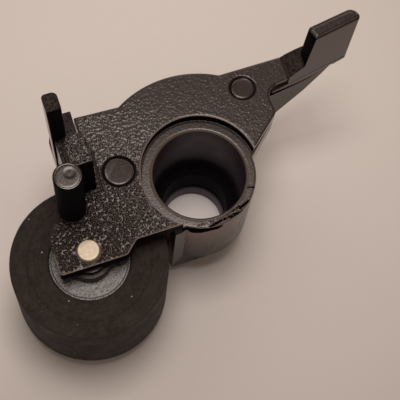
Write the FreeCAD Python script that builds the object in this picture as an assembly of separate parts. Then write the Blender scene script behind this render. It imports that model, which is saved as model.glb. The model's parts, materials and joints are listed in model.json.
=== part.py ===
"""Pinch roller swing arm: one moulded arm with a hub sleeve, guide posts and a finger,
carrying a rubber-tyred roller on a fixed steel pin. Millimetres, +Z up.
The origin is on the axis of the hub bore, at the foot of the hub. +X runs along the arm
from the roller end to the finger end."""

import FreeCAD, Part
import math
import os

V = FreeCAD.Vector

# Levels
PLATE_TOP = 20.2
PLATE_T = 2.0
PLATE_BASE = PLATE_TOP - PLATE_T

# Hub sleeve
HUB_R = 7.6
HUB_RIM_DROP = 1.5
HUB_SEAT_R = 7.9
HUB_BASE = 6.2
COLLAR_R = 6.42
COLLAR_BASE = 2.0
COLLAR_CORNER_X = -5.5
CHAMBER_R = 6.2
CHAMBER_MOUTH = 0.25
CHAMBER_FLOOR = 7.0
FOOT_R = 5.75
FOOT_BORE_R = 4.6
LIP_R = 4.3
LIP_H = 2.2

# Roller axis and the pieces on it
PIN_X = -17.35
PIN_Y = -6.05
PIN_R = 1.5
PIN_PROUD = 0.5
PIN_END_CHAMFER = 0.15
CORE_TOP = 16.1
CORE_BASE = 3.0
CORE_R = 5.35
CORE_LAND_W = 0.3
CORE_LAND_DROP = 0.12
TYRE_R = 10.5
TYRE_TOP = 16.2
TYRE_BASE = 2.9
TYRE_ROUND = 0.35
TYRE_MOUTH_BEVEL = 0.2
BUSH_SLEEVE_R = 2.2
BUSH_SLEEVE_L = 4.0
BUSH_BORE_R = 1.53
BUSH_FLANGE_R = 3.0
UPPER_FLANGE_T = 1.5
LOWER_FLANGE_T = 0.9
BOSS_R = 2.4
BOSS_H = 0.45
WASHER_R = 3.2
WASHER_BORE_R = 1.54
WASHER_T = 0.45
CLIP_R = 2.9
CLIP_T = 0.5
CLIP_SEAT_R = 1.15
CLIP_TOP = 1.5

# Posts on the plate, all measured from the plate's top face
PEG_X = -17.6
PEG_Y = 0.15
PEG_R = 1.87
PEG_TOP_R = 1.83
PEG_H = 11.5
DIMPLE_R = 4.0
DIMPLE_DEEP = 0.05
STEP_H = 8.9
SHELF_H = 8.4
PRONG_H = 17.0
FOOT_PAD_H = 0.4

# Finger and its upright tab
FINGER_NEAR_Y = 9.5
FINGER_FAR_Y = 12.36
FINGER_END_X = 19.6
TAB_H = 7.5
TAB_LEAN = 0.6
TAB_T = 2.05
TAB_START = (13.3, 8.25)
TAB_END = (25.85, 10.46)
RIB_SETBACK = 0.3
RIB_T = 1.4
RIB_DEEP = 10.4
KEEL_DEEP = 0.8
GROOVE_H = 1.6
GROOVE_END_H = 0.8
GROOVE_DEEP = 0.9
SKIRT_DEEP = 5.0


def cylinder(x, y, r, z0, z1):
    return Part.makeCylinder(r, z1 - z0, V(x, y, z0))


def ring(x, y, r_in, r_out, z0, z1):
    return cylinder(x, y, r_out, z0, z1).cut(cylinder(x, y, r_in, z0 - 1, z1 + 1))


def box(x0, x1, y0, y1, z0, z1):
    return Part.makeBox(x1 - x0, y1 - y0, z1 - z0, V(x0, y0, z0))


def outline(corners, z0):
    """Closed wire at height z0. Each corner is (x, y, radius)."""
    edges = []
    first = None
    last = None
    count = len(corners)
    for i in range(count):
        here = V(corners[i][0], corners[i][1], z0)
        before = V(corners[i - 1][0], corners[i - 1][1], z0)
        after = V(corners[(i + 1) % count][0], corners[(i + 1) % count][1], z0)
        radius = corners[i][2]
        to_before = (before - here).normalize()
        to_after = (after - here).normalize()
        if radius > 0:
            half = to_before.getAngle(to_after) / 2
            reach = radius / math.tan(half)
            start = here + to_before * reach
            end = here + to_after * reach
            middle_way = (to_before + to_after).normalize()
            middle = here + middle_way * (radius / math.sin(half) - radius)
        else:
            start = here
            end = here
        if last is not None:
            edges.append(Part.makeLine(last, start))
        else:
            first = start
        if radius > 0:
            edges.append(Part.Arc(start, middle, end).toShape())
        last = end
    edges.append(Part.makeLine(last, first))
    return Part.Wire(edges)


def prism(corners, z0, z1):
    return Part.Face(outline(corners, z0)).extrude(V(0, 0, z1 - z0))


def tapered(low_corners, high_corners, z0, z1):
    """Solid with straight walls between two outlines of the same corners."""
    return Part.makeLoft([outline(low_corners, z0), outline(high_corners, z1)], True, True)


def fillet_top(solid, z, radius):
    """Rounds every edge that lies wholly at height z."""
    chosen = []
    for edge in solid.Edges:
        bounds = edge.BoundBox
        if abs(bounds.ZMin - z) < 1e-4 and abs(bounds.ZMax - z) < 1e-4:
            chosen.append(edge)
    return solid.makeFillet(radius, chosen)


def save(node, shape):
    shape.exportStep("parts/" + node + ".step")


def make_plate():
    """The flat lever with its lobe around the hub and the lug beside the posts."""
    edge = [
        (-21.65, -8.05, 0.4),
        (-12.75, -8.05, 0.9),
        (-11.0, -COLLAR_R, 0.9),
        (-4.4, -COLLAR_R, 0),
        (0.0, -4.0, 0),
        (7.6, 0.4, 0),
        (12.6, 4.7, 0.5),
        (12.5, 8.55, 2.0),
        (FINGER_END_X, FINGER_NEAR_Y, 0),
        (FINGER_END_X, FINGER_FAR_Y, 0),
        (0.0, FINGER_FAR_Y, 0),
        (-7.4, 12.05, 0),
        (-13.6, FINGER_FAR_Y, 0.2),
        (-13.6, 9.6, 0),
        (-13.8, 9.6, 0),
        (-13.7, 13.5, 0.12),
        (-16.4, 13.5, 0.8),
        (-17.7, 10.0, 0),
        (-17.7, 2.8, 0.5),
        (-21.75, -3.0, 0.8),
    ]
    plate = prism(edge, PLATE_BASE, PLATE_TOP)
    lobe = cylinder(0.15, 0, 14.2, PLATE_BASE, PLATE_TOP)
    lobe = lobe.common(box(-9, 9, 10, 16, PLATE_BASE, PLATE_TOP))
    return plate.fuse(lobe)


def make_collar():
    """Round wall inside the sleeve, with a straight run below the plate's edge."""
    r = COLLAR_R
    corner = V(COLLAR_CORNER_X, -r, COLLAR_BASE)
    near = V(0, -r, COLLAR_BASE)
    far = V(0, r, COLLAR_BASE)
    side = V(-r, 0, COLLAR_BASE)
    diagonal = V(-r, r, 0).normalize() * r + V(0, 0, COLLAR_BASE)
    wire = Part.Wire(
        [
            Part.makeLine(corner, near),
            Part.Arc(near, V(r, 0, COLLAR_BASE), far).toShape(),
            Part.Arc(far, diagonal, side).toShape(),
            Part.makeLine(side, corner),
        ]
    )
    return Part.Face(wire).extrude(V(0, 0, PLATE_BASE + 0.5 - COLLAR_BASE))


def make_hub():
    """Outer sleeve, the collar that shows below it, and the narrower foot."""
    rim = PLATE_TOP - HUB_RIM_DROP
    sleeve = cylinder(0, 0, HUB_R, HUB_BASE, rim)
    foot = cylinder(0, 0, FOOT_R, 0, COLLAR_BASE + 1)
    return sleeve.fuse([make_collar(), foot])


def hub_cavity():
    """Everything that is hollow on the hub axis."""
    rim = PLATE_TOP - HUB_RIM_DROP
    seat = cylinder(0, 0, HUB_SEAT_R, rim, PLATE_TOP + 1)
    chamber = cylinder(0, 0, CHAMBER_R, CHAMBER_FLOOR, rim + 1)
    mouth_r = CHAMBER_R + CHAMBER_MOUTH
    mouth = Part.makeCone(CHAMBER_R, mouth_r, CHAMBER_MOUTH, V(0, 0, rim - CHAMBER_MOUTH))
    bore = cylinder(0, 0, FOOT_BORE_R, LIP_H, CHAMBER_FLOOR + 1)
    lip = cylinder(0, 0, LIP_R, -1, LIP_H + 1)
    return seat.fuse([chamber, mouth, bore, lip])


def make_posts():
    """Guide peg, stepped block and tall prong, all rooted in the plate."""
    root = PLATE_BASE + 0.5
    peg_top = PLATE_TOP + PEG_H
    peg = Part.makeCone(PEG_R, PEG_TOP_R, peg_top - root, V(PEG_X, PEG_Y, root))
    peg = fillet_top(peg, peg_top, 0.3)
    dimple_at = V(PEG_X + 0.35, PEG_Y + 0.3, peg_top + DIMPLE_R - DIMPLE_DEEP)
    peg = peg.cut(Part.makeSphere(DIMPLE_R, dimple_at))

    step_top = PLATE_TOP + STEP_H
    step = tapered(
        [(-17.1, 1.5, 0.3), (-13.75, 1.5, 0.15), (-13.75, 6.5, 1.3), (-17.1, 6.5, 1.2)],
        [(-16.95, 2.1, 0.3), (-13.8, 2.1, 0.15), (-13.8, 6.45, 1.3), (-16.95, 6.45, 1.2)],
        root,
        step_top,
    )
    step = fillet_top(step, step_top, 0.12)
    shelf = box(-17.5, -15.6, 2.6, 6.45, root, PLATE_TOP + SHELF_H)
    pad = prism(
        [(-15.4, 1.15, 0), (-13.2, 1.15, 0.3), (-12.7, 7.6, 0.5), (-15.4, 7.6, 0)],
        root,
        PLATE_TOP + FOOT_PAD_H,
    )

    prong_top = PLATE_TOP + PRONG_H
    prong = tapered(
        [(-17.65, 6.3, 0.25), (-15.75, 6.3, 0.25), (-15.75, 8.75, 0.7), (-17.65, 8.75, 0.5)],
        [(-18.0, 6.3, 0.25), (-16.1, 6.3, 0.25), (-16.1, 8.7, 0.7), (-18.0, 8.7, 0.5)],
        root,
        prong_top,
    )
    prong = fillet_top(prong, prong_top, 0.12)
    return peg.fuse([step, shelf, pad, prong])


def tab_direction():
    along = V(TAB_END[0] - TAB_START[0], TAB_END[1] - TAB_START[1], 0).normalize()
    across = V(-along.y, along.x, 0)
    return along, across


def closed(points):
    return Part.makePolygon(points + [points[0]])


def edge_from(solid, corner):
    """The steepest edge that starts at a corner of the solid."""
    found = []
    for edge in solid.Edges:
        if min((vertex.Point - corner).Length for vertex in edge.Vertexes) < 1e-4:
            found.append(edge)
    return max(found, key=lambda edge: edge.BoundBox.ZLength)


def make_finger():
    """Upright tab at the end of the finger, its curved foot and the tapering rib below."""
    along, across = tab_direction()
    start = V(TAB_START[0], TAB_START[1], 0)
    end = V(TAB_END[0], TAB_END[1], 0)
    up = V(0, 0, PLATE_TOP + TAB_H)
    low = V(0, 0, PLATE_BASE)

    near_low = start + along * 4.85
    far_low = start + along * 5.8 + across * (TAB_T + 0.35)
    near_high = start + along * 6.3 + across * TAB_LEAN
    far_high = start + along * 6.0 + across * (TAB_LEAN + TAB_T)
    end_high = end + along * 0.8 + across * TAB_LEAN
    bottom = closed(
        [
            near_low + low,
            end + low,
            end + across * (TAB_T + 0.35) + low,
            far_low + low,
        ]
    )
    top = closed(
        [
            near_high + up,
            end_high + up,
            end_high - along * 0.3 + across * (TAB_T - 0.15) + up,
            far_high + up,
        ]
    )
    tab = Part.makeLoft([bottom, top], True, True)
    for point, radius in ((far_low, 0.6), (end, 0.6), (end + across * (TAB_T + 0.35), 1.2)):
        tab = tab.makeFillet(radius, [edge_from(tab, point + low)])
    tab = fillet_top(tab, PLATE_TOP + TAB_H, 0.35)

    near_y = FINGER_NEAR_Y - 1.5
    heel_top = PLATE_TOP + 1.4
    heel_side = Part.Wire(
        [
            Part.makeLine(V(16.2, near_y, PLATE_BASE), V(16.2, near_y, PLATE_TOP)),
            Part.Arc(
                V(16.2, near_y, PLATE_TOP),
                V(17.7, near_y, PLATE_TOP + 0.85),
                V(19.2, near_y, heel_top),
            ).toShape(),
            Part.makeLine(V(19.2, near_y, heel_top), V(20.6, near_y, heel_top)),
            Part.makeLine(V(20.6, near_y, heel_top), V(20.6, near_y, PLATE_BASE)),
            Part.makeLine(V(20.6, near_y, PLATE_BASE), V(16.2, near_y, PLATE_BASE)),
        ]
    )
    heel = Part.Face(heel_side).extrude(V(0, FINGER_FAR_Y - near_y, 0))
    near_plane = closed(
        [
            start + low,
            end + along * 2.0 + low,
            end + along * 2.0 + across * TAB_LEAN + up,
            start + across * TAB_LEAN + up,
        ]
    )
    heel = heel.cut(Part.Face(near_plane).extrude(across * -6))

    rib_profile = [
        (-9.6, 0.5),
        (10.1, 0.5),
        (10.1, -1.1),
        (9.0, -2.6),
        (6.6, 0.7 - RIB_DEEP / 1.7),
        (0.6, -RIB_DEEP),
        (-9.6, -RIB_DEEP),
    ]
    keel_profile = [(0.4, 0.5), (12.2, 0.5), (12.2, 0), (7.3, -KEEL_DEEP), (4.7, -0.65), (0.4, 0)]
    rib = side_plate(rib_profile, start + across * RIB_SETBACK, along, across * RIB_T)
    keel = side_plate(keel_profile, start, along, across * (RIB_SETBACK + RIB_T))
    return tab.fuse([heel, rib, keel])


def finger_groove():
    """Narrow groove that runs below the keel, between the tab's face and the rib."""
    along, across = tab_direction()
    start = V(TAB_START[0], TAB_START[1], 0)
    top_edge = [(0.3, 0.15), (4.7, -0.65), (7.3, -KEEL_DEEP), (10.4, 0)]
    taper = (GROOVE_H - GROOVE_END_H) / top_edge[-1][0]
    low_edge = [(reach, height - GROOVE_H + taper * reach) for reach, height in reversed(top_edge)]
    profile = top_edge + low_edge
    return side_plate(profile, start - across * 0.5, along, across * (0.5 + GROOVE_DEEP))


def side_plate(profile, start, along, thickness):
    """Upright plate from (distance along, height over the plate's underside) pairs."""
    points = [start + along * reach + V(0, 0, PLATE_BASE + height) for reach, height in profile]
    return Part.Face(closed(points)).extrude(thickness)


def make_skirt():
    """Edge wall under the plate between the hub and the finger."""
    corner = V(12.45, 4.6, 0)
    hub_side = V(6.2, -1.15, 0)
    along = (corner - hub_side).normalize()
    across = V(-along.y, along.x, 0)
    inner_corner = corner + across * 1.3
    inner_hub = hub_side + across * 1.3
    joint = V(12.3, 8.2, 0)
    wall = [
        (hub_side.x, hub_side.y, 0),
        (corner.x, corner.y, 0.4),
        (joint.x, joint.y, 0),
        (joint.x - 1.3, joint.y, 0),
        (inner_corner.x - 0.2, inner_corner.y, 0),
        (inner_hub.x, inner_hub.y, 0),
    ]
    return prism(wall, PLATE_TOP - SKIRT_DEEP, PLATE_BASE + 0.5)


def witness_mark(x, y, r):
    """Shallow disc with a ring groove left by an ejector."""
    face = PLATE_TOP
    disc = cylinder(x, y, r - 0.1, face - 0.1, face + 1)
    groove = ring(x, y, r - 0.25, r, face - 0.3, face + 1)
    return disc.fuse(groove)


def make_arm():
    arm = make_plate().fuse([make_hub(), make_posts(), make_finger(), make_skirt()])
    boss = cylinder(PIN_X, PIN_Y, BOSS_R, PLATE_BASE - BOSS_H, PLATE_BASE + 0.5)
    arm = arm.fuse(boss)
    arm = arm.cut(hub_cavity())
    arm = arm.cut(finger_groove())
    arm = arm.cut(cylinder(PIN_X, PIN_Y, PIN_R, PLATE_BASE - 2, PLATE_TOP + 1))
    arm = arm.cut(witness_mark(-10.25, 3.2, 2.2))
    arm = arm.cut(witness_mark(9.55, 9.5, 1.8))
    return arm.removeSplitter()


def make_pin():
    top = PLATE_TOP + PIN_PROUD
    pin = cylinder(PIN_X, PIN_Y, PIN_R, 0, top)
    ends = []
    for edge in pin.Edges:
        if edge.BoundBox.ZLength < 1e-4:
            ends.append(edge)
    pin = pin.makeChamfer(PIN_END_CHAMFER, ends)
    groove = ring(PIN_X, PIN_Y, CLIP_SEAT_R, PIN_R + 1, CLIP_TOP - CLIP_T - 0.05, CLIP_TOP + 0.05)
    return pin.cut(groove)


def make_core():
    core = ring(PIN_X, PIN_Y, BUSH_SLEEVE_R, CORE_R, CORE_BASE, CORE_TOP)
    inner = CORE_R - CORE_LAND_W
    for z0, z1 in (
        (CORE_TOP - CORE_LAND_DROP, CORE_TOP + 1),
        (CORE_BASE - 1, CORE_BASE + CORE_LAND_DROP),
    ):
        core = core.cut(ring(PIN_X, PIN_Y, inner, CORE_R + 1, z0, z1))
    return core


def make_tyre():
    tyre = cylinder(PIN_X, PIN_Y, TYRE_R, TYRE_BASE, TYRE_TOP)
    rims = []
    for edge in tyre.Edges:
        if edge.BoundBox.ZLength < 1e-4:
            rims.append(edge)
    tyre = tyre.makeFillet(TYRE_ROUND, rims)
    tyre = tyre.cut(cylinder(PIN_X, PIN_Y, CORE_R, TYRE_BASE - 1, TYRE_TOP + 1))
    wide = CORE_R + TYRE_MOUTH_BEVEL
    top = Part.makeCone(
        CORE_R, wide, TYRE_MOUTH_BEVEL, V(PIN_X, PIN_Y, TYRE_TOP - TYRE_MOUTH_BEVEL)
    )
    bottom = Part.makeCone(wide, CORE_R, TYRE_MOUTH_BEVEL, V(PIN_X, PIN_Y, TYRE_BASE))
    return tyre.cut(top).cut(bottom)


def make_bush(upper):
    if upper:
        flange = (CORE_TOP, CORE_TOP + UPPER_FLANGE_T)
        sleeve = (CORE_TOP - BUSH_SLEEVE_L, CORE_TOP)
    else:
        flange = (CORE_BASE - LOWER_FLANGE_T, CORE_BASE)
        sleeve = (CORE_BASE, CORE_BASE + BUSH_SLEEVE_L)
    head = ring(PIN_X, PIN_Y, BUSH_BORE_R, BUSH_FLANGE_R, flange[0], flange[1])
    stem = ring(PIN_X, PIN_Y, BUSH_BORE_R, BUSH_SLEEVE_R, sleeve[0], sleeve[1])
    return head.fuse(stem).removeSplitter()


def make_washer():
    top = CORE_BASE - LOWER_FLANGE_T - 0.12
    return ring(PIN_X, PIN_Y, WASHER_BORE_R, WASHER_R, top - WASHER_T, top)


def make_clip():
    """Retaining clip with an open mouth and two relief notches."""
    z0 = CLIP_TOP - CLIP_T
    clip = ring(PIN_X, PIN_Y, CLIP_SEAT_R, CLIP_R, z0, CLIP_TOP)
    mouth = box(PIN_X, PIN_X + 4, PIN_Y - 0.95, PIN_Y + 0.95, z0 - 1, CLIP_TOP + 1)
    clip = clip.cut(mouth)
    for angle in (75, 285):
        x = PIN_X + 1.55 * math.cos(math.radians(angle))
        y = PIN_Y + 1.55 * math.sin(math.radians(angle))
        clip = clip.cut(cylinder(x, y, 0.6, z0 - 1, CLIP_TOP + 1))
    return clip


os.makedirs("parts", exist_ok=True)

save("arm_moulding", make_arm())
save("roller_pin", make_pin())
save("upper_bush", make_bush(True))
save("lower_bush", make_bush(False))
save("roller_core", make_core())
save("rubber_tyre", make_tyre())
save("thrust_washer", make_washer())
save("retaining_clip", make_clip())
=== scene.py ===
"""Pinch roller arm: a moulded black lever with a rubber-tyred roller on a steel pin.

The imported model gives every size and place. This script replaces its plain solids with
finished meshes and materials, and adds the floor, the lights and the camera.
"""

import json
import math

import bmesh
import bpy
import numpy as np
from mathutils import Euler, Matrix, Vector, noise
from mathutils.geometry import delaunay_2d_cdt


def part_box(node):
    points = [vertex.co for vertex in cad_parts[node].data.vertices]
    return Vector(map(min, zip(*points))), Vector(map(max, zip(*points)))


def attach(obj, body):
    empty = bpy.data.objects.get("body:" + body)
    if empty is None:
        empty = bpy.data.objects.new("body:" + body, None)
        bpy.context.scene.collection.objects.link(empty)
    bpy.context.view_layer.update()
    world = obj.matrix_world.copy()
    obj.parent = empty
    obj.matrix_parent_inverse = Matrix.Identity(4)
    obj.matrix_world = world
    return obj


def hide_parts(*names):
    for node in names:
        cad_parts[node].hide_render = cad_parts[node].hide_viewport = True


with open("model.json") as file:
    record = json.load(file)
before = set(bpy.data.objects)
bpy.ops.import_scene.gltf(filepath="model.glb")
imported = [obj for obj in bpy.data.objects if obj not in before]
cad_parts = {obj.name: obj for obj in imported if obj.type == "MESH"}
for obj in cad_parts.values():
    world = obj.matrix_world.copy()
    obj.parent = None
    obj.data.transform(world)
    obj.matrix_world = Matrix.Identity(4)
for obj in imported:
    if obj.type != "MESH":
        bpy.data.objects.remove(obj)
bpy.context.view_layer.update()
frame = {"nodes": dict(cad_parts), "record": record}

MM = 0.001
SEED = 7

WELD_REACH = 1e-7
LEVEL_NORMAL = 0.9999

# Floor: painted light on the paper: the spot where it is brightest, the distance over which painted
# shade darkens it, and the inner and outer radius of a painted pool of light in the disc under the
# bore
FLOOR_SIZE = 1.6
FLOOR_PAINTED_LIGHT_SPOT = (-2.0 * MM, 22.0 * MM)
FLOOR_PAINTED_FALLOFF = 62 * MM
FLOOR_PAINTED_BORE_POOL = (4.5 * MM, 6.0 * MM)

# Lights: name, place, size in metres, power in watts and colour
LIGHTS = [
    ("overhead", (0.0, 0.03, 0.34), 0.13, 0.55, (1.0, 0.85, 0.77)),
    ("window_behind", (0.08, 0.185, 0.14), 0.16, 0.11, (1.0, 0.83, 0.74)),
]
LIGHT_AIM = (0, 0, 0.01)
ROOM_COLOUR = (1.0, 0.76, 0.60, 1)
ROOM_STRENGTH = 0.24

# Camera
CAMERA_AT = (-26.12 * MM, -48.47 * MM, 154.77 * MM)
CAMERA_TURN = (20.427, -3.480, -19.743)
CAMERA_LENS = 99.0

# Arm: the dense mesh of its tops, and how their edges are softened
TOP_PITCH = 0.115 * MM
EDGE_OFFSETS = (0.045 * MM, 0.10 * MM, 0.17 * MM)
EDGE_SPACING = 0.13 * MM
EDGE_SOFT = 0.24 * MM
EDGE_DROP = 0.08 * MM
SMOOTH_ANGLE = 38
HAIR = 0.01 * MM
LEVEL_SLACK = 0.05 * MM
LEAST_TOP = 1.5 * MM * MM
LEAST_LAND = 20 * MM * MM

# Arm: eroded grain, with its weight on the finer tops
GRAIN_SIZE = 0.33 * MM
GRAIN_HEIGHT = 0.046 * MM
GRAIN_FADE = 23 * MM
GRAIN_NEAR, GRAIN_LOSS = 1.5, 1.3
LUG_GRAIN = 0.35
RIM_GRAIN = 0.08
MARK_GRAIN = 0.03
PEG_GRAIN = 0.02
POST_RELIEF = 0.004 * MM
POST_GRAIN = (0.01, 0.15)

# Arm: features that the grain, the painted shade and the painted light follow
PEG_AT = (-17.6 * MM, 0.15 * MM)
PEG_RADII = (1.75 * MM, 1.90 * MM)
PEG_LEVEL = (11 * MM, 12 * MM)
PEG_LARGEST = 9 * MM * MM
PEG_DIMPLE_FILL = 0.7
POST_LEVEL = 10 * MM
POSTS_END = -11.5 * MM
LUG_CORNER = (-13.65 * MM, 9.0 * MM)
PLATE_THICK = 2.0 * MM
PLATE_NEAR_SIDE = -5 * MM
MARK_DEEPEST = 0.2 * MM
MARK_DOME = 0.012 * MM
SLEEVE_RADII = (4 * MM, 8 * MM)
SEAT_EDGE = 8.25 * MM
FINGER_START = (13.3 * MM, 8.25 * MM)
FINGER_TURN = 9.987

# Finger: spans along it from its start and across it from its near side
GROOVE_ALONG, GROOVE_ACROSS = (0.2 * MM, 10.6 * MM), (0.03 * MM, 0.95 * MM)
GROOVE_LEVEL = (-2.1 * MM, 0.25 * MM)
TAB_END_ALONG = (4.6 * MM, 7.5 * MM)
FOOT_ALONG = (2.5 * MM, 6.3 * MM)
RIB_DEPTH = 12 * MM

# Material slots of the arm, after the moulded plastic in slot 0: painted shade in dull black and in
# dull grey, painted sheen in the bore, and painted light on the sleeve and the rib
SHADE_BLACK_SLOT, SHADE_GREY_SLOT, PAINTED_SHEEN_SLOT, PAINTED_LIGHT_SLOT = 1, 2, 3, 4
# |z| of a face's normal, below which it counts as steep or as upright
STEEP, UPRIGHT = 0.6, 0.3

# Torn slot under the hub's rim: angle, depth into the wall, lower and upper edge below the rim
RIM_TEAR = [
    (-134, 0.55, -1.80, -0.22),
    (-127, 0.75, -2.10, -0.18),
    (-122, 0.70, -1.30, -0.16),
    (-117, 0.75, -2.20, -0.15),
    (-107, 0.70, -2.05, -0.18),
    (-97, 0.60, -1.45, -0.22),
    (-90, 0.55, -1.60, -0.26),
    (-85, 0.25, -0.90, -0.34),
]
TEAR_STEP = 0.9
TEAR_ROUGH = 0.09
# Cuts in the hub's rim: angle and radius at both ends, width and depth, in degrees and mm
RIM_CUTS = [
    (-34.7, 6.5, -32.4, 7.75, 0.17, 0.38),
    (-61, 7.12, -47, 7.6, 0.26, 0.42),
    (-79, 6.63, -59, 6.94, 0.18, 0.34),
    (-85, 7.07, -64, 7.5, 0.28, 0.46),
    (-101, 7.65, -85, 7.07, 0.26, 0.46),
    (-76, 7.35, -58, 7.68, 0.20, 0.38),
    (-112, 7.3, -92, 6.9, 0.10, 0.14),
]
CUT_BURR = 0.18

# Tyre
TURN_STEPS = 300
TYRE_ROUND = 0.35 * MM
TYRE_CHAMFER = 0.15 * MM
TYRE_LINE_PITCH = 0.21 * MM
TYRE_LINE_DEPTH = 0.022 * MM
TYRE_SIDE_WEAR = 0.012 * MM
TYRE_FACE_WEAR = 0.006 * MM
# Dust on the tyre's face: radius in mm, angle in degrees, size in mm
DUST_SPECKS = [
    (9.93, 126, 0.10),
    (6.35, 151, 0.13),
    (6.50, 156, 0.06),
    (6.03, -134, 0.12),
    (7.35, -60, 0.11),
    (8.70, -118, 0.07),
    (9.10, -150, 0.06),
    (8.10, 175, 0.05),
]


# ---------------------------------------------------------------- frame helpers


def node_box(node):
    """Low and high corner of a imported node."""
    low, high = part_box(node)
    return np.array(low), np.array(high)


def axis_of(node):
    """(x, y) of the vertical line through a round node."""
    low, high = node_box(node)
    return (low[:2] + high[:2]) / 2


def cad_points(node):
    """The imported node's vertices, one row each."""
    mesh = frame["nodes"][node].data
    points = np.empty(len(mesh.vertices) * 3, np.float32)
    mesh.vertices.foreach_get("co", points)
    return points.reshape(-1, 3).astype(float)


def wall_radii(node, centre, fewest=24):
    """Radii of the round walls that a node has about a vertical axis."""
    offset = cad_points(node)[:, :2] - centre
    radii = np.round(np.hypot(offset[:, 0], offset[:, 1]), 6)
    values, counts = np.unique(radii, return_counts=True)
    return [value for value, count in zip(values, counts) if count >= fewest and value > 0]


# ---------------------------------------------------------------- shader helpers


class Shader:
    """A node material with one Principled shader."""

    def __init__(self, name, **sockets):
        self.material = bpy.data.materials.new(name)
        self.material.use_nodes = True
        self.tree = self.material.node_tree
        self.tree.nodes.clear()
        output = self.add("ShaderNodeOutputMaterial")
        self.surface = self.add("ShaderNodeBsdfPrincipled")
        self.join(self.surface, "BSDF", output, "Surface")
        for socket, value in sockets.items():
            self.surface.inputs[socket.replace("_", " ")].default_value = value
        self.place = self.add("ShaderNodeTexCoord")

    def add(self, kind, inputs=None, **settings):
        """A new shader node with its sockets and settings filled in."""
        node = self.tree.nodes.new(kind)
        for name, value in settings.items():
            setattr(node, name, value)
        for name, value in (inputs or {}).items():
            node.inputs[name].default_value = value
        return node

    def join(self, source, output, target, socket):
        """Links one node's output to another node's socket."""
        self.tree.links.new(source.outputs[output], target.inputs[socket])

    def noise(self, size, detail=3.0, roughness=0.55):
        """Noise whose features are about `size` metres across."""
        texture = self.add(
            "ShaderNodeTexNoise",
            {"Scale": 1.0, "Detail": detail, "Roughness": roughness},
        )
        scale = self.add("ShaderNodeVectorMath", operation="MULTIPLY")
        scale.inputs[1].default_value = (1 / size, 1 / size, 1 / size)
        self.join(self.place, "Object", scale, 0)
        self.join(scale, "Vector", texture, "Vector")
        return texture, "Fac"

    def cells(self, size):
        """Distance from the middles of smooth cells about `size` metres across."""
        texture = self.add("ShaderNodeTexVoronoi", {"Scale": 1 / size}, feature="SMOOTH_F1")
        self.join(self.place, "Object", texture, "Vector")
        return texture, "Distance"

    def attribute(self, name):
        """A number stored at the mesh's vertices."""
        return self.add("ShaderNodeAttribute", attribute_name=name), "Fac"

    def ramp(self, source, low, high, values):
        """Maps a source from low..high to a range of two numbers."""
        mapped = self.add(
            "ShaderNodeMapRange",
            {"From Min": low, "From Max": high, "To Min": values[0], "To Max": values[1]},
        )
        self.join(source[0], source[1], mapped, "Value")
        return mapped, "Result"

    def math(self, operation, first, second):
        """One sum of two values, each a number or an output."""
        node = self.add("ShaderNodeMath", operation=operation)
        for slot, value in ((0, first), (1, second)):
            if isinstance(value, tuple):
                self.join(value[0], value[1], node, slot)
            else:
                node.inputs[slot].default_value = value
        return node, "Value"

    def blend(self, factor, first, second):
        """Colour that goes from first to second; each is a colour or an output."""
        mix = self.add("ShaderNodeMix", data_type="RGBA")
        self.join(factor[0], factor[1], mix, 0)
        for slot, value in ((6, first), (7, second)):
            if isinstance(value[0], bpy.types.Node):
                self.tree.links.new(value[0].outputs[value[1]], mix.inputs[slot])
            else:
                mix.inputs[slot].default_value = (*value, 1)
        return mix, 2

    def distance(self, spot):
        """Distance of the shaded point from a fixed one."""
        away = self.add("ShaderNodeVectorMath", operation="DISTANCE")
        away.inputs[1].default_value = spot
        self.join(self.place, "Object", away, 0)
        return away, "Value"

    def colour(self, source):
        """Sets the base colour."""
        self.tree.links.new(source[0].outputs[source[1]], self.surface.inputs["Base Color"])

    def drive(self, socket, source):
        """Feeds a socket of the Principled shader."""
        self.join(source[0], source[1], self.surface, socket)

    def height(self):
        """Height of the shaded point above the floor, at rest."""
        split = self.add("ShaderNodeSeparateXYZ")
        self.join(self.place, "Object", split, "Vector")
        return split, "Z"

    def slope(self):
        """1 on level surfaces and 0 on upright ones."""
        split = self.add("ShaderNodeSeparateXYZ")
        self.join(self.place, "Normal", split, "Vector")
        return self.math("ABSOLUTE", (split, "Z"), 0.0)

    def bump(self, layers):
        """Stacks bumps; each layer is (height source, depth in metres)."""
        last = None
        for source, depth in layers:
            bump = self.add("ShaderNodeBump", {"Strength": 1.0, "Distance": depth})
            self.join(source[0], source[1], bump, "Height")
            if last:
                self.join(last, "Normal", bump, "Normal")
            last = bump
        self.join(last, "Normal", self.surface, "Normal")


def use_material(obj, material):
    """Makes one material the only one of an object."""
    obj.data.materials.clear()
    obj.data.materials.append(material)


def radial_normals(spots, normal, columns):
    """Normals at the corners of a round wall's face, or None for any other face."""
    found = None
    for x, y, low, high in columns:
        reach = spots[:, :2] - (x, y)
        radii = np.hypot(reach[:, 0], reach[:, 1])
        ways = reach / np.maximum(radii, 1e-9)[:, None]
        facing = ways.mean(0) @ normal[:2]
        level = radii.max() - radii.min() < 0.06 * MM and abs(normal[2]) < 0.05
        if level and low < radii.mean() < high and abs(facing) > 0.99:
            found = [(way[0] * np.sign(facing), way[1] * np.sign(facing), 0.0) for way in ways]
    return found


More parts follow.
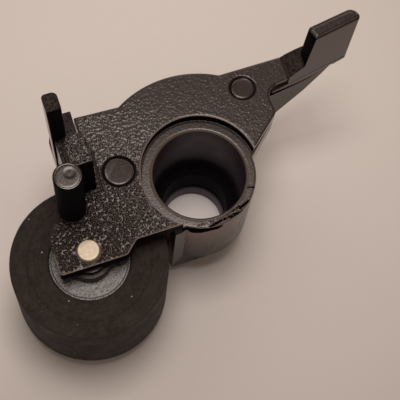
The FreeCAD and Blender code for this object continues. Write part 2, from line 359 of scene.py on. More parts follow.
def wall_normals(mesh, columns, loose_weight):
    """Steadies the shading of walls and flats.

    columns holds (x, y, lowest radius, highest radius) of round walls. Their faces get normals
    straight out from the axis, large flats keep their own normal up to their edges, and the
    narrow faces between take the normal of the wall that they run into. Vertices whose
    loose_weight is above zero belong to the modelled grain and keep smooth normals.
    """
    least_flat = 0.8 * MM * MM
    mesh.update()
    points = np.empty(len(mesh.vertices) * 3, np.float32)
    mesh.vertices.foreach_get("co", points)
    points = points.reshape(-1, 3).astype(float)
    fixed = {}
    at_vertex = {}
    rest = []
    flat_groups = {}
    for face in mesh.polygons:
        corners = list(face.vertices)
        if max(loose_weight[corner] for corner in corners) > 0:
            continue
        normal = np.array(face.normal)
        spots = points[corners]
        found = radial_normals(spots, normal, columns)
        if found is None:
            rest.append(face)
            key = (*np.round(normal, 2), round(float(normal @ spots[0]) / (0.05 * MM)))
            flat_groups.setdefault(key, []).append(face)
            continue
        for loop, corner, way in zip(face.loop_indices, corners, found):
            fixed[loop] = way
            at_vertex.setdefault(corner, []).append(np.array(way))
    flats = set()
    for group in flat_groups.values():
        if sum(face.area for face in group) < least_flat:
            continue
        for face in group:
            flats.add(face.index)
            for loop, corner in zip(face.loop_indices, face.vertices):
                fixed[loop] = tuple(face.normal)
                at_vertex.setdefault(corner, []).append(np.array(face.normal))
    limit = math.cos(math.radians(SMOOTH_ANGLE))
    for face in rest:
        if face.index in flats:
            continue
        normal = np.array(face.normal)
        for loop, corner in zip(face.loop_indices, face.vertices):
            near = [way for way in at_vertex.get(corner, []) if way @ normal > limit]
            if near:
                fixed[loop] = tuple(max(near, key=lambda way: way @ normal))
    normals = [(0.0, 0.0, 0.0)] * len(mesh.loops)
    for loop, way in fixed.items():
        normals[loop] = way
    mesh.normals_split_custom_set(normals)


def even_normals(obj):
    """Lets large faces set the shading, so that flats stay flat next to rounded edges."""
    weighted = obj.modifiers.new("even_normals", "WEIGHTED_NORMAL")
    weighted.keep_sharp = True
    weighted.weight = 100


# ---------------------------------------------------------------- mesh helpers


def place(name, mesh, node, body):
    """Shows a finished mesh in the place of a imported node."""
    obj = bpy.data.objects.new(name, mesh)
    bpy.context.scene.collection.objects.link(obj)
    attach(obj, body)
    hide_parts(node)
    return obj


def welded_copy(node):
    """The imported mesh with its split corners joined."""
    bm = bmesh.new()
    bm.from_mesh(frame["nodes"][node].data)
    bmesh.ops.remove_doubles(bm, verts=bm.verts, dist=WELD_REACH)
    return bm


def finished_mesh(name, bm, sharp_angle=32):
    """Turns a bmesh into a smooth-shaded mesh, and frees it."""
    mesh = bpy.data.meshes.new(name)
    for face in bm.faces:
        face.smooth = True
    bm.to_mesh(mesh)
    bm.free()
    mesh.set_sharp_from_angle(angle=math.radians(sharp_angle))
    return mesh


def softened(node, name, body, material, width):
    """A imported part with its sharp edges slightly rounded."""
    obj = place(name, finished_mesh(name, welded_copy(node)), node, body)
    bevel = obj.modifiers.new("soft_edges", "BEVEL")
    bevel.width = width
    bevel.segments = 2
    bevel.limit_method = "ANGLE"
    bevel.angle_limit = math.radians(40)
    even_normals(obj)
    use_material(obj, material)


# ---------------------------------------------------------------- arm


def flat_regions(bm, lowest):
    """Connected groups of level upward faces that lie above a height, in the mesh's order."""
    level = [
        face
        for face in bm.faces
        if face.normal.z > LEVEL_NORMAL and face.calc_center_median().z > lowest
    ]
    waiting = dict.fromkeys(level)
    regions = []
    for first in level:
        if first not in waiting:
            continue
        del waiting[first]
        region = [first]
        for face in region:
            for edge in face.edges:
                for other in edge.link_faces:
                    if other in waiting:
                        del waiting[other]
                        region.append(other)
        regions.append(region)
    return regions


def segment_distance(points, start, end):
    """Distance of each 2-D point from a line segment, and where along it, 0 to 1."""
    along = end - start
    share = ((points - start) @ along) / max(along @ along, 1e-12)
    share = np.clip(share, 0, 1)
    return np.linalg.norm(points - start - share[:, None] * along, axis=1), share


def inside_outline(points, starts, ends):
    """Even-odd test of 2-D points against a set of closed edges."""
    inside = np.zeros(len(points), bool)
    for start, end in zip(starts, ends):
        if start[1] == end[1]:
            continue
        crosses = (start[1] > points[:, 1]) != (end[1] > points[:, 1])
        reach = start[0] + (points[:, 1] - start[1]) * (end[0] - start[0]) / (end[1] - start[1])
        inside ^= crosses & (points[:, 0] < reach)
    return inside


def hex_points(low, high, pitch, rng):
    """Slightly uneven hexagonal grid over a rectangle."""
    rows = np.arange(low[1], high[1], pitch * 0.866)
    columns = np.arange(low[0], high[0], pitch)
    x, y = np.meshgrid(columns, rows)
    x[1::2] += pitch / 2
    points = np.c_[x.ravel(), y.ravel()]
    return points + rng.uniform(-0.12, 0.12, points.shape) * pitch


def edge_points(starts, ends, offset):
    """Points along both sides of an outline, at a distance from it."""
    points = []
    for start, end in zip(starts, ends):
        along = end - start
        length = np.linalg.norm(along)
        across = np.array([-along[1], along[0]]) / max(length, 1e-9) * offset
        shares = np.arange(max(1, round(length / EDGE_SPACING))) + 0.5
        shares /= len(shares)
        for share in shares:
            points += [start + along * share + across, start + along * share - across]
    return np.array(points)


def points_inside(points, starts, ends, least):
    """The points inside an outline that keep a least distance from it, with their distances."""
    points = points[inside_outline(points, starts, ends)]
    gap = np.full(len(points), 1.0)
    for start, end in zip(starts, ends):
        gap = np.minimum(gap, segment_distance(points, start, end)[0])
    kept = gap > least
    return points[kept], gap[kept]


def refine_region(bm, region, pitch, rng):
    """Swaps a level region for a dense mesh on the same outline.

    Returns its new inner vertices, their distances from the outline, and the outline's
    vertices that stand on a wall going down.
    """
    height = region[0].verts[0].co.z
    members = set(region)
    border = [
        edge
        for face in region
        for edge in face.edges
        if sum(other in members for other in edge.link_faces) == 1
    ]
    falling = set()
    for edge in border:
        for face in edge.link_faces:
            if face not in members and face.calc_center_median().z < height - 0.001 * MM:
                falling.update(edge.verts)
    rim = list(dict.fromkeys(vertex for edge in border for vertex in edge.verts))
    index = {vertex: number for number, vertex in enumerate(rim)}
    pairs = [(index[edge.verts[0]], index[edge.verts[1]]) for edge in border]
    outline = np.array([vertex.co[:2] for vertex in rim])
    starts = outline[[pair[0] for pair in pairs]]
    ends = outline[[pair[1] for pair in pairs]]

    grid = hex_points(outline.min(0), outline.max(0), pitch, rng)
    grid, gap = points_inside(grid, starts, ends, EDGE_OFFSETS[-1] + 0.4 * pitch)
    for offset in EDGE_OFFSETS:
        row = edge_points(starts, ends, offset)
        row, row_gap = points_inside(row, starts, ends, 0.8 * offset)
        grid = np.r_[grid, row]
        gap = np.r_[gap, row_gap]

    scaled = [Vector(point) for point in np.r_[outline, grid] / MM]
    points, _, triangles, sources, _, _ = delaunay_2d_cdt(scaled, pairs, [], 0, 1e-5)
    corners = np.array([tuple(point) for point in points]) * MM
    triangles = np.array([list(triangle) for triangle in triangles])
    middles = corners[triangles].mean(1)
    triangles = triangles[inside_outline(middles, starts, ends)]

    bmesh.ops.delete(bm, geom=region, context="FACES_KEEP_BOUNDARY")
    vertices = []
    inner = []
    inner_gap = []
    for number, source in enumerate(sources):
        first = source[0] if source else -1
        if 0 <= first < len(rim):
            vertices.append(rim[first])
            continue
        vertex = bm.verts.new((corners[number][0], corners[number][1], height))
        vertices.append(vertex)
        inner.append(vertex)
        inner_gap.append(gap[first - len(rim)] if first >= 0 else 0.0)
    for triangle in triangles:
        bm.faces.new([vertices[corner] for corner in triangle])
    used = [bool(vertex.link_faces) for vertex in inner]
    for vertex, in_use in zip(inner, used):
        if not in_use:
            bm.verts.remove(vertex)
    inner = [vertex for vertex, in_use in zip(inner, used) if in_use]
    return inner, np.array(inner_gap)[used], falling


def grain_height(x, y):
    """Relief of the eroded surface at a point, from about -1 to 1."""
    spot = Vector((x / GRAIN_SIZE, y / GRAIN_SIZE, 0.37))
    lumps = noise.noise(spot)
    fine = noise.noise(spot * 2.3 + Vector((9.1, 4.3, 0)))
    wide = noise.noise(spot * 0.28)
    return lumps + 0.4 * fine + 0.35 * wide


def turned(angle):
    """Unit vector at an angle in degrees."""
    return np.array([math.cos(math.radians(angle)), math.sin(math.radians(angle))])


def cut_depth(point, hub):
    """How far the rim's cuts lower a point of the rim, in metres; a burr beside them rises."""
    depth = 0.0
    spot = np.array([[point.x - hub[0], point.y - hub[1]]])
    for angle0, radius0, angle1, radius1, width, deep in RIM_CUTS:
        start = turned(angle0) * radius0 * MM
        end = turned(angle1) * radius1 * MM
        distance, share = segment_distance(spot, start, end)
        half = width * MM / 2 * (0.55 + 0.45 * math.sin(math.pi * (0.15 + 0.7 * share[0])))
        if distance[0] < half:
            depth = max(depth, deep * MM * (1 - (distance[0] / half) ** 2) ** 0.5)
        elif distance[0] < 2 * half and depth <= 0:
            depth = min(depth, -CUT_BURR * deep * MM * (2 - distance[0] / half))
    return depth


def tear_cutter(arm, rng):
    """Ragged curved bar that cuts the torn slot in the hub's wall from outside."""
    stations = np.array(RIM_TEAR)
    angles = np.arange(stations[0, 0], stations[-1, 0], TEAR_STEP)
    rough = rng.uniform(-TEAR_ROUGH, TEAR_ROUGH, (len(angles), 3))
    bm = bmesh.new()
    sections = []
    for angle, jitter in zip(angles, rough):
        deep, low, high = [
            np.interp(angle, stations[:, 0], stations[:, column]) + shift
            for column, shift in zip((1, 2, 3), jitter)
        ]
        way = turned(angle)
        corners = (
            (arm.outer - deep * MM, arm.rim + (low + 0.25) * MM),
            (arm.outer - 0.12 * MM, arm.rim + (low + 0.10) * MM),
            (arm.outer + 1.5 * MM, arm.rim + (low - 0.75) * MM),
            (arm.outer + 1.5 * MM, arm.rim + high * MM),
            (arm.outer - deep * MM, arm.rim + high * MM),
        )
        sections.append([bm.verts.new((*(arm.hub + way * reach), z)) for reach, z in corners])
    count = len(sections[0])
    for before, after in zip(sections, sections[1:]):
        for corner in range(count):
            bm.faces.new((before[corner], before[corner - 1], after[corner - 1], after[corner]))
    bm.faces.new(sections[0])
    bm.faces.new(sections[-1][::-1])
    bmesh.ops.triangulate(bm, faces=bm.faces)
    bmesh.ops.recalc_face_normals(bm, faces=bm.faces)
    mesh = bpy.data.meshes.new("rim_tear")
    bm.to_mesh(mesh)
    bm.free()
    return mesh


def cut_mesh(bm, cutter_mesh):
    """The difference of a mesh and a cutter, as a new bmesh."""
    mesh = bpy.data.meshes.new("uncut")
    bm.to_mesh(mesh)
    bm.free()
    collection = bpy.context.scene.collection
    body = bpy.data.objects.new("uncut", mesh)
    tool = bpy.data.objects.new("tool", cutter_mesh)
    collection.objects.link(body)
    collection.objects.link(tool)
    boolean = body.modifiers.new("cut", "BOOLEAN")
    boolean.operation = "DIFFERENCE"
    boolean.object = tool
    boolean.solver = "EXACT"
    graph = bpy.context.evaluated_depsgraph_get()
    result = bmesh.new()
    result.from_mesh(body.evaluated_get(graph).to_mesh())
    bpy.data.objects.remove(body)
    bpy.data.objects.remove(tool)
    bmesh.ops.remove_doubles(result, verts=result.verts, dist=WELD_REACH)
    return result


class ArmLevels:
    """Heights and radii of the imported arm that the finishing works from."""

    def __init__(self):
        mounts = {mount["name"]: mount for mount in frame["record"]["mounts"]}
        chamber = mounts["hub_chamber"]
        middle = chamber["pos_m"][2]
        lands = [(area, height) for area, height in level_areas() if height > middle]
        walls = wall_radii("arm_moulding", chamber["pos_m"][:2], 60)
        self.hub = np.array(chamber["pos_m"][:2])
        self.bore = chamber["dims"]["r_mm"] * MM
        self.outer = max(radius for radius in walls if radius < 1.25 * self.bore)
        self.plate_top = max(lands)[1]
        self.base = self.plate_top - PLATE_THICK
        self.rim = min(height for area, height in lands if area > LEAST_LAND)
        self.ledge = middle - chamber["dims"]["length_mm"] * MM / 2
        self.lip_top = mounts["pivot_bore"]["dims"]["length_mm"] * MM


def level_areas():
    """(area, height) of each height at which the arm has level upward faces."""
    areas = {}
    bm = welded_copy("arm_moulding")
    for face in bm.faces:
        if face.normal.z > LEVEL_NORMAL:
            height = round(face.calc_center_median().z, 5)
            areas[height] = areas.get(height, 0) + face.calc_area()
    bm.free()
    return [(area, height) for height, area in areas.items()]


def top_kind(height, area, arm):
    """What a level top belongs to, or None for one that stays as packed."""
    if area < LEAST_TOP:
        return None
    if height < arm.rim + LEVEL_SLACK:
        return "rim"
    if height < arm.plate_top - LEVEL_SLACK:
        return "mark" if height > arm.plate_top - MARK_DEEPEST else None
    over = height - arm.plate_top
    if PEG_LEVEL[0] < over < PEG_LEVEL[1] and area < PEG_LARGEST:
        return "peg"
    return "post" if over > POST_LEVEL else "plate"


def grain_share(spot, pin):
    """Depth of the grain: full around the roller's pin, finer along the arm and on the lug."""
    if spot.x < LUG_CORNER[0] and spot.y > LUG_CORNER[1]:
        return LUG_GRAIN
    away = math.hypot(spot.x - pin[0], spot.y - pin[1])
    return GRAIN_NEAR - GRAIN_LOSS * min(1.0, away / GRAIN_FADE)


def edge_highlight_share(spot, hub, kind):
    """How strongly a pale painted highlight lightens an edge: round the hub's seat and along the
    plate's near side most.
    """
    if kind == "rim":
        return 0.4
    reach = math.hypot(spot.x - hub[0], spot.y - hub[1])
    return 1.0 if reach < SEAT_EDGE or spot.y < PLATE_NEAR_SIDE else 0.0


def mark_rise(offset, radius):
    """Height change of an ejector mark: slightly domed, tilted, its far left edge raised."""
    dome = MARK_DOME * max(0.0, 1 - (offset.length / radius) ** 6)
    raised = (-0.75 * offset.x + 0.66 * offset.y) / MM - 0.8
    tilt = 0.14 * MM * max(0.0, raised) ** 1.5 - 0.045 * (0.34 * offset.x + 0.94 * offset.y)
    return dome + tilt


def finish_tops(bm, arm, rng):
    """Remeshes the arm's level tops and models their grain, cuts, marks and soft edges.

    Returns the grain's weight and the weight of the edges' painted highlight, each at the vertices
    that have any.
    """
    grain = {}
    edge_highlight = {}
    peg_top = arm.plate_top
    pin = axis_of("roller_pin")
    for region in flat_regions(bm, arm.rim - HAIR):
        height = region[0].verts[0].co.z
        kind = top_kind(height, sum(face.calc_area() for face in region), arm)
        if kind is None:
            continue
        inner, gap, falling = refine_region(bm, region, TOP_PITCH, rng)
        middle = sum((vertex.co for vertex in inner), Vector()) / len(inner)
        radius = max((vertex.co - middle).length for vertex in inner)
        if kind == "peg":
            peg_top = height
        for vertex, distance in zip(inner, gap):
            near_wall = min(1.0, distance / EDGE_SOFT)
            relief = grain_height(vertex.co.x, vertex.co.y) * near_wall
            share = grain_share(vertex.co, pin)
            if kind == "rim":
                vertex.co.z -= cut_depth(vertex.co, arm.hub)
                grain[vertex] = RIM_GRAIN
            elif kind == "mark":
                vertex.co.z += mark_rise(vertex.co - middle, radius)
                grain[vertex] = MARK_GRAIN
            elif kind == "peg":
                grain[vertex] = PEG_GRAIN
            elif kind == "post":
                vertex.co.z += POST_RELIEF * relief
                grain[vertex] = POST_GRAIN[0] + POST_GRAIN[1] * near_wall
            else:
                vertex.co.z += GRAIN_HEIGHT * relief * share
                grain[vertex] = near_wall * share
            if falling:
                edge = max(0.0, 1 - distance / EDGE_SOFT)
                vertex.co.z -= EDGE_DROP * edge * edge
                # Painted highlight: the softened edge takes a pale colour that stands in for the
                # lamp's glint on it.
                edge_highlight[vertex] = edge ** 1.3 * edge_highlight_share(vertex.co, arm.hub, kind)
        if kind == "mark":
            continue
        for vertex in falling:
            vertex.co.z -= EDGE_DROP
            edge_highlight[vertex] = edge_highlight_share(vertex.co, arm.hub, kind)
    fill_peg_dimple(bm, peg_top)
    return grain, edge_highlight


def fill_peg_dimple(bm, peg_top):
    """Makes the dimple in the guide peg's end shallower."""
    for vertex in bm.verts:
        near_peg = math.hypot(vertex.co.x - PEG_AT[0], vertex.co.y - PEG_AT[1]) < PEG_RADII[0]
        if near_peg and peg_top - 0.1 * MM < vertex.co.z < peg_top:
            vertex.co.z += PEG_DIMPLE_FILL * (peg_top - vertex.co.z)


def vertex_values(bm, values):
    """A number for each vertex of a bmesh, zero where values has none."""
    row = np.zeros(len(bm.verts), np.float32)
    for vertex, value in values.items():
        row[vertex.index] = value
    return row


def make_arm_skin():
    """The moulding with modelled grain, softened edges with a painted highlight, a torn rim,
    painted shade in dull black and grey, painted sheen in the bore and painted light on the sleeve
    and rib.
    """
    arm = ArmLevels()
    rng = np.random.default_rng(SEED)
    bm = cut_mesh(welded_copy("arm_moulding"), tear_cutter(arm, rng))
    grain, edge_highlight = finish_tops(bm, arm, rng)
    bm.verts.index_update()
    attributes = {"grain": vertex_values(bm, grain), "painted_edge_highlight": vertex_values(bm, edge_highlight)}
    mesh = finished_mesh("arm_skin", bm, SMOOTH_ANGLE)
    for name, values in attributes.items():
        mesh.attributes.new(name, "FLOAT", "POINT").data.foreach_set("value", values)
    columns = [(*arm.hub, *SLEEVE_RADII), (*PEG_AT, *PEG_RADII)]
    wall_normals(mesh, columns, attributes["grain"])
    place("arm_skin", mesh, "arm_moulding", "arm")
    for material in (
        plastic_material(),
        # Painted shade in near-black and in dull grey, painted sheen in the bore, painted light on
        # the sleeve and rib.
        painted_shade_material("painted_shade_black", (0.0026, 0.0018, 0.0038), (0.0056, 0.0040, 0.0080)),
        painted_shade_material("painted_shade_grey", (0.014, 0.0112, 0.0114), (0.050, 0.0410, 0.0405)),
        bore_sheen_material(),
        sleeve_light_material(),
    ):
        mesh.materials.append(material)
    slots = np.zeros(len(mesh.polygons), int)
    faces = FaceTable(mesh)
    colour_hub(slots, faces, arm)
    colour_plate(slots, faces, arm)
    colour_posts(slots, faces, arm)
    colour_finger(slots, faces, arm)
    mesh.polygons.foreach_set("material_index", slots)


# ---------------------------------------------------------------- finishes of the arm


def within(values, span):
    """Which values lie inside a span."""
    return (values > span[0]) & (values < span[1])


class FaceTable:
    """Middles and normals of a mesh's faces, with tests of where a face is."""

    def __init__(self, mesh):
        values = np.empty((2, len(mesh.polygons) * 3), np.float32)
        mesh.polygons.foreach_get("center", values[0])
        mesh.polygons.foreach_get("normal", values[1])
        self.middles, self.normals = values.reshape(2, -1, 3).astype(float)
        self.x, self.y, self.z = self.middles.T
        self.up = self.normals[:, 2]

    def level(self, low, high):
        """Faces between two heights, both included."""
        return within(self.z, (low - HAIR, high + HAIR))

    def around(self, centre, low, high):
        """Faces between two distances from a vertical axis."""
        return within(np.hypot(self.x - centre[0], self.y - centre[1]), (low, high))


def torn_faces(faces, arm):
    """The inside of the torn slot under the hub's rim."""
    angle = np.degrees(np.arctan2(faces.y - arm.hub[1], faces.x - arm.hub[0]))
    turn = within(angle, (RIM_TEAR[0][0] - 1, RIM_TEAR[-1][0] + 1))
    inside = faces.around(arm.hub, arm.outer - 1.0 * MM, arm.outer - 0.03 * MM)
    return turn & inside & faces.level(arm.rim - 2.5 * MM, arm.rim - 0.10 * MM)


def colour_hub(slots, faces, arm):
    """Painted sheen in the bore, painted light on the sleeve, and painted shade in dull black on
    the ledge, the gashes and the seat.
    """
    upright = abs(faces.up) < UPRIGHT
    bore = faces.around(arm.hub, 0, arm.bore)
    # Painted sheen on the bore's walls and round the lip, painted shade in dull black on the ledge.
    slots[bore & faces.level(arm.lip_top, arm.rim - 0.1 * MM) & upright] = PAINTED_SHEEN_SLOT
    slots[bore & faces.level(arm.lip_top, arm.ledge)] = SHADE_BLACK_SLOT
    slots[faces.around(arm.hub, 0, 4.5 * MM) & (faces.z < arm.lip_top)] = PAINTED_SHEEN_SLOT
    # Painted light on the sleeve's outside.
    sleeve = faces.around(arm.hub, 6.3 * MM, arm.outer + 0.05 * MM) & upright
    slots[sleeve & (faces.z < arm.rim - 0.1 * MM)] = PAINTED_LIGHT_SLOT
    # Painted shade: the floors of the rim's cuts in dull black.
    gashes = faces.around(arm.hub, 6.6 * MM, arm.outer)
    gashes &= faces.level(arm.rim - 0.5 * MM, arm.rim - 0.11 * MM)
    slots[gashes & (faces.up > 0.2)] = SHADE_BLACK_SLOT
    # Painted shade: the seat's wall in dull black.
    seat_wall = faces.around(arm.hub, arm.outer + 0.1 * MM, SEAT_EDGE)
    seat_wall &= faces.level(arm.rim, arm.plate_top - 0.12 * MM)
    slots[seat_wall & (abs(faces.up) < STEEP)] = SHADE_BLACK_SLOT


def colour_plate(slots, faces, arm):
    """Painted shade in dull black on the plate's near side, in the torn slot and in the marks'
    rings.
    """
    # Painted shade: the plate's near side, the torn slot and the marks' rings in dull black.
    near_side = (faces.x < -3 * MM) & (faces.normals[:, 1] < -0.2) & (abs(faces.up) < STEEP)
    slots[near_side & faces.level(arm.base, arm.plate_top - 0.1 * MM)] = SHADE_BLACK_SLOT
    slots[torn_faces(faces, arm)] = SHADE_BLACK_SLOT
    rings = faces.level(arm.plate_top - 0.35 * MM, arm.plate_top - 0.22 * MM)
    slots[rings & (faces.up > 0.5)] = SHADE_BLACK_SLOT


def colour_posts(slots, faces, arm):
    """Painted shade: dull black on the posts' near sides and the peg, dull grey on the prong's end
    and the lug.
    """
    # Painted shade: dull black on the posts' near sides and the peg, dull grey on the prong's end
    # and the lug.
    posts = (faces.x < POSTS_END) & (faces.z > arm.plate_top + 0.25 * MM)
    posts &= abs(faces.up) < STEEP
    slots[posts & (faces.normals[:, 1] < -0.3)] = SHADE_BLACK_SLOT
    slots[posts & faces.around(PEG_AT, 0, PEG_RADII[1] + 0.05 * MM)] = SHADE_BLACK_SLOT
    slots[(faces.z > arm.plate_top + PEG_LEVEL[1]) & (faces.up > STEEP)] = SHADE_GREY_SLOT
    lug = (faces.x < LUG_CORNER[0]) & (faces.y > LUG_CORNER[1]) & (faces.up > STEEP)
    slots[lug & (faces.z < arm.plate_top + 0.2 * MM)] = SHADE_GREY_SLOT


def colour_finger(slots, faces, arm):
    """Painted shade in dull black in the groove and on the tab's near end, painted light on the
    rib, and painted shade in dull grey on the foot.
    """
    ahead = turned(FINGER_TURN)
    aside = np.array([-ahead[1], ahead[0]])
    offset = faces.middles[:, :2] - FINGER_START
    along = offset @ ahead
    across = offset @ aside
    facing = faces.normals[:, :2] @ ahead
    outward = faces.normals[:, :2] @ aside
    # Painted shade: dull black in the groove and on the tab's near end.
    groove = within(along, GROOVE_ALONG) & within(across, GROOVE_ACROSS)
    groove &= faces.level(arm.base + GROOVE_LEVEL[0], arm.base + GROOVE_LEVEL[1])
    slots[groove & ((abs(faces.up) > UPRIGHT) | (across > 0.5 * MM))] = SHADE_BLACK_SLOT
    tab_end = within(along, TAB_END_ALONG) & (across > -0.2 * MM) & (facing < -0.7)
    slots[tab_end & (faces.z > arm.base)] = SHADE_BLACK_SLOT
    # Painted light on the rib.
    rib = (along > 0.0) & (outward < -0.8) & (across < 0.5 * MM)
    slots[rib & faces.level(arm.base - RIB_DEPTH, arm.base + 0.3 * MM)] = PAINTED_LIGHT_SLOT
    # Painted shade: dull grey on the foot.
    foot = within(along, FOOT_ALONG) & (facing < -0.2) & (faces.up > STEEP)
    slots[foot & (faces.z > arm.plate_top + 0.02 * MM)] = SHADE_GREY_SLOT


# ---------------------------------------------------------------- tyre


def make_tyre():
    """Rubber ring turned from one closed profile, with fine lines on its faces."""
    centre = axis_of("rubber_tyre")
    low, high = node_box("rubber_tyre")
    outer = (high[0] - low[0]) / 2
    inner = min(wall_radii("rubber_tyre", centre))
    rng = np.random.default_rng(SEED + 1)

    face_radii = np.arange(inner + TYRE_CHAMFER, outer - TYRE_ROUND, TYRE_LINE_PITCH / 3)
    lines = rng.uniform(-1, 1, len(face_radii))
    side_heights = np.linspace(low[2] + TYRE_ROUND, high[2] - TYRE_ROUND, 64)
    corner = np.radians(np.linspace(90, 0, 6))[1:-1]
    profile = [(inner, low[2] + TYRE_CHAMFER), (inner, high[2] - TYRE_CHAMFER)]
    profile += [
        (radius, high[2] - TYRE_LINE_DEPTH * (1 + line))
        for radius, line in zip(face_radii, lines)
    ]
    profile += [
        (outer - TYRE_ROUND * (1 - math.cos(turn)), high[2] - TYRE_ROUND * (1 - math.sin(turn)))
        for turn in corner
    ]
    profile += [(outer, height) for height in side_heights[::-1]]
    profile += [
        (outer - TYRE_ROUND * (1 - math.cos(turn)), low[2] + TYRE_ROUND * (1 - math.sin(turn)))
        for turn in corner[::-1]
    ]
    profile += [
        (radius, low[2] + TYRE_LINE_DEPTH * (1 + line))
        for radius, line in zip(face_radii[::-1], lines[::-1])
    ]

    half_height = (low[2] + high[2]) / 2
    points = []
    for step in range(TURN_STEPS):
        angle = 2 * math.pi * step / TURN_STEPS
        way = np.array([math.cos(angle), math.sin(angle)])
        for radius, height in profile:
            spot = Vector((*(centre + way * radius), height))
            wear = noise.noise(spot / (0.45 * MM)) + 0.6 * noise.noise(spot / (0.2 * MM))
            if radius > outer - TYRE_ROUND:
                radius -= TYRE_SIDE_WEAR * (1.2 + wear)
            elif radius > inner:
                toward = -1 if height > half_height else 1
                height += toward * TYRE_FACE_WEAR * (1.2 + wear)
            points.append((*(centre + way * radius), height))
    count = len(profile)
    faces = []
    for step in range(TURN_STEPS):
        here = step * count
        after = (step + 1) % TURN_STEPS * count
        for number in range(count):
            follow = (number + 1) % count
            faces.append((here + number, after + number, after + follow, here + follow))
    mesh = bpy.data.meshes.new("tyre")
    mesh.from_pydata(points, [], faces)
    bm = bmesh.new()
    bm.from_mesh(mesh)
    bmesh.ops.recalc_face_normals(bm, faces=bm.faces)
    mesh = finished_mesh("tyre", bm, 50)
    obj = place("tyre", mesh, "rubber_tyre", "roller")
    use_material(obj, rubber_material(centre, high[2]))


# ---------------------------------------------------------------- materials


def plastic_material():
    """Near-black moulded plastic: eroded grain by the weight grain, smooth where it is 0. Its
    upright walls carry painted shade low down and a painted reflection higher up, and its softened
    edges a pale painted highlight.
    """
    shader = Shader("moulded_plastic", IOR=1.52)
    grain = shader.attribute("grain")
    edge = shader.attribute("painted_edge_highlight")
    wide = shader.noise(2.5 * MM, 2.0)
    fine = shader.noise(0.20 * MM, 2.0)
    cells = shader.cells(GRAIN_SIZE)
    pits = shader.math("MULTIPLY", grain, shader.ramp(cells, 0.0, 0.55, (1.0, 0.0)))
    # Painted light and shade on upright walls: darker low down, paler and pinker higher up as a
    # painted reflection of the floor; walls and tops take different colours by their slope.
    painted_light_rise = shader.ramp(shader.height(), 13 * MM, 23 * MM, (0, 1))
    painted_shade_low_walls = shader.blend(wide, (0.0050, 0.0028, 0.0028), (0.0070, 0.0038, 0.0036))
    painted_reflection_high_walls = shader.blend(wide, (0.046, 0.0230, 0.0220), (0.060, 0.0310, 0.0290))
    walls = shader.blend(painted_light_rise, painted_shade_low_walls, painted_reflection_high_walls)
    deep = shader.ramp(grain, 0.3, 1.2, (0, 1))
    smooth_tops = shader.blend(wide, (0.0150, 0.0085, 0.0074), (0.0250, 0.0145, 0.0125))
    rough_tops = shader.blend(deep, (0.0150, 0.0110, 0.0104), (0.0070, 0.0050, 0.0047))
    tops = shader.blend(shader.ramp(grain, 0.05, 0.3, (0, 1)), smooth_tops, rough_tops)
    level = shader.ramp(shader.slope(), 0.3, 0.7, (0, 1))
    surface = shader.blend(pits, shader.blend(level, walls, tops), (0.040, 0.0272, 0.0228))
    # Painted highlight: softened edges turn pale by their highlight weight.
    edge_highlight = shader.ramp(edge, 0, 1, (0.0, 1.0))
    shader.colour(shader.blend(edge_highlight, surface, (0.30, 0.26, 0.235)))
    dull = shader.ramp(grain, 0, 0.04, (0.20, 0.27))
    uneven = shader.ramp(fine, 0.3, 0.7, (-0.04, 0.05))
    shader.drive("Roughness", shader.math("ADD", dull, uneven))
    pit_depth = shader.math("MULTIPLY", pits, shader.ramp(deep, 0, 1, (0.45, 1.2)))
    fine_depth = shader.math("MULTIPLY", shader.ramp(grain, 0, 1, (0.03, 1.0)), fine)
    shader.bump([(pit_depth, 0.175 * MM), (fine_depth, 0.035 * MM)])
    return shader.material


def painted_shade_material(name, low, high):
    """Painted shade: the plastic in a near-black and a dull grey tone with little sheen, put where
    shade falls.
    """
    shader = Shader(name, IOR=1.45, Specular_IOR_Level=0.06, Roughness=0.7)
    spots = shader.noise(0.35 * MM, 3.0)
    shader.colour(shader.blend(shader.ramp(spots, 0.35, 0.65, (0, 1)), low, high))
    shader.bump([(spots, 0.03 * MM)])
    return shader.material


def sleeve_light_material():
    """Outside of the hub: polished, with painted light that makes it paler towards the rim and on
    its left.
    """
    shader = Shader("hub_sleeve_painted_light", IOR=1.45, Specular_IOR_Level=0.20)
    cloud = shader.noise(2.2 * MM, 2.0)
    # Painted light: paler higher up and towards the left, darker low down and to the right.
    across = shader.add("ShaderNodeVectorMath", operation="DOT_PRODUCT")
    across.inputs[1].default_value = (0.94, -0.34, 0)
    shader.join(shader.place, "Object", across, 0)
    side = shader.ramp((across, "Value"), -2 * MM, 6.5 * MM, (1.0, 0.25))
    painted_light_rise = shader.math("POWER", shader.ramp(shader.height(), 6 * MM, 18 * MM, (0, 1)), 1.4)
    painted_light = shader.math("MULTIPLY", painted_light_rise, side)
    dark = shader.blend(cloud, (0.0050, 0.0032, 0.0030), (0.0090, 0.0058, 0.0052))
    shader.colour(shader.blend(painted_light, dark, (0.330, 0.215, 0.180)))
    shader.drive("Roughness", shader.ramp(cloud, 0.3, 0.7, (0.22, 0.30)))
    return shader.material


def bore_sheen_material():
    """Painted sheen of the hub's bore: a mauve tone, paler than the plastic, for the light the bore
    reflects.
    """
    shader = Shader("bore_painted_sheen", IOR=1.45, Specular_IOR_Level=0.30)
    spots = shader.noise(3.0 * MM, 2.0)
    shader.colour(shader.blend(spots, (0.052, 0.0350, 0.0560), (0.078, 0.0540, 0.0820)))
    shader.drive("Roughness", shader.ramp(spots, 0.3, 0.7, (0.36, 0.46)))
    return shader.material


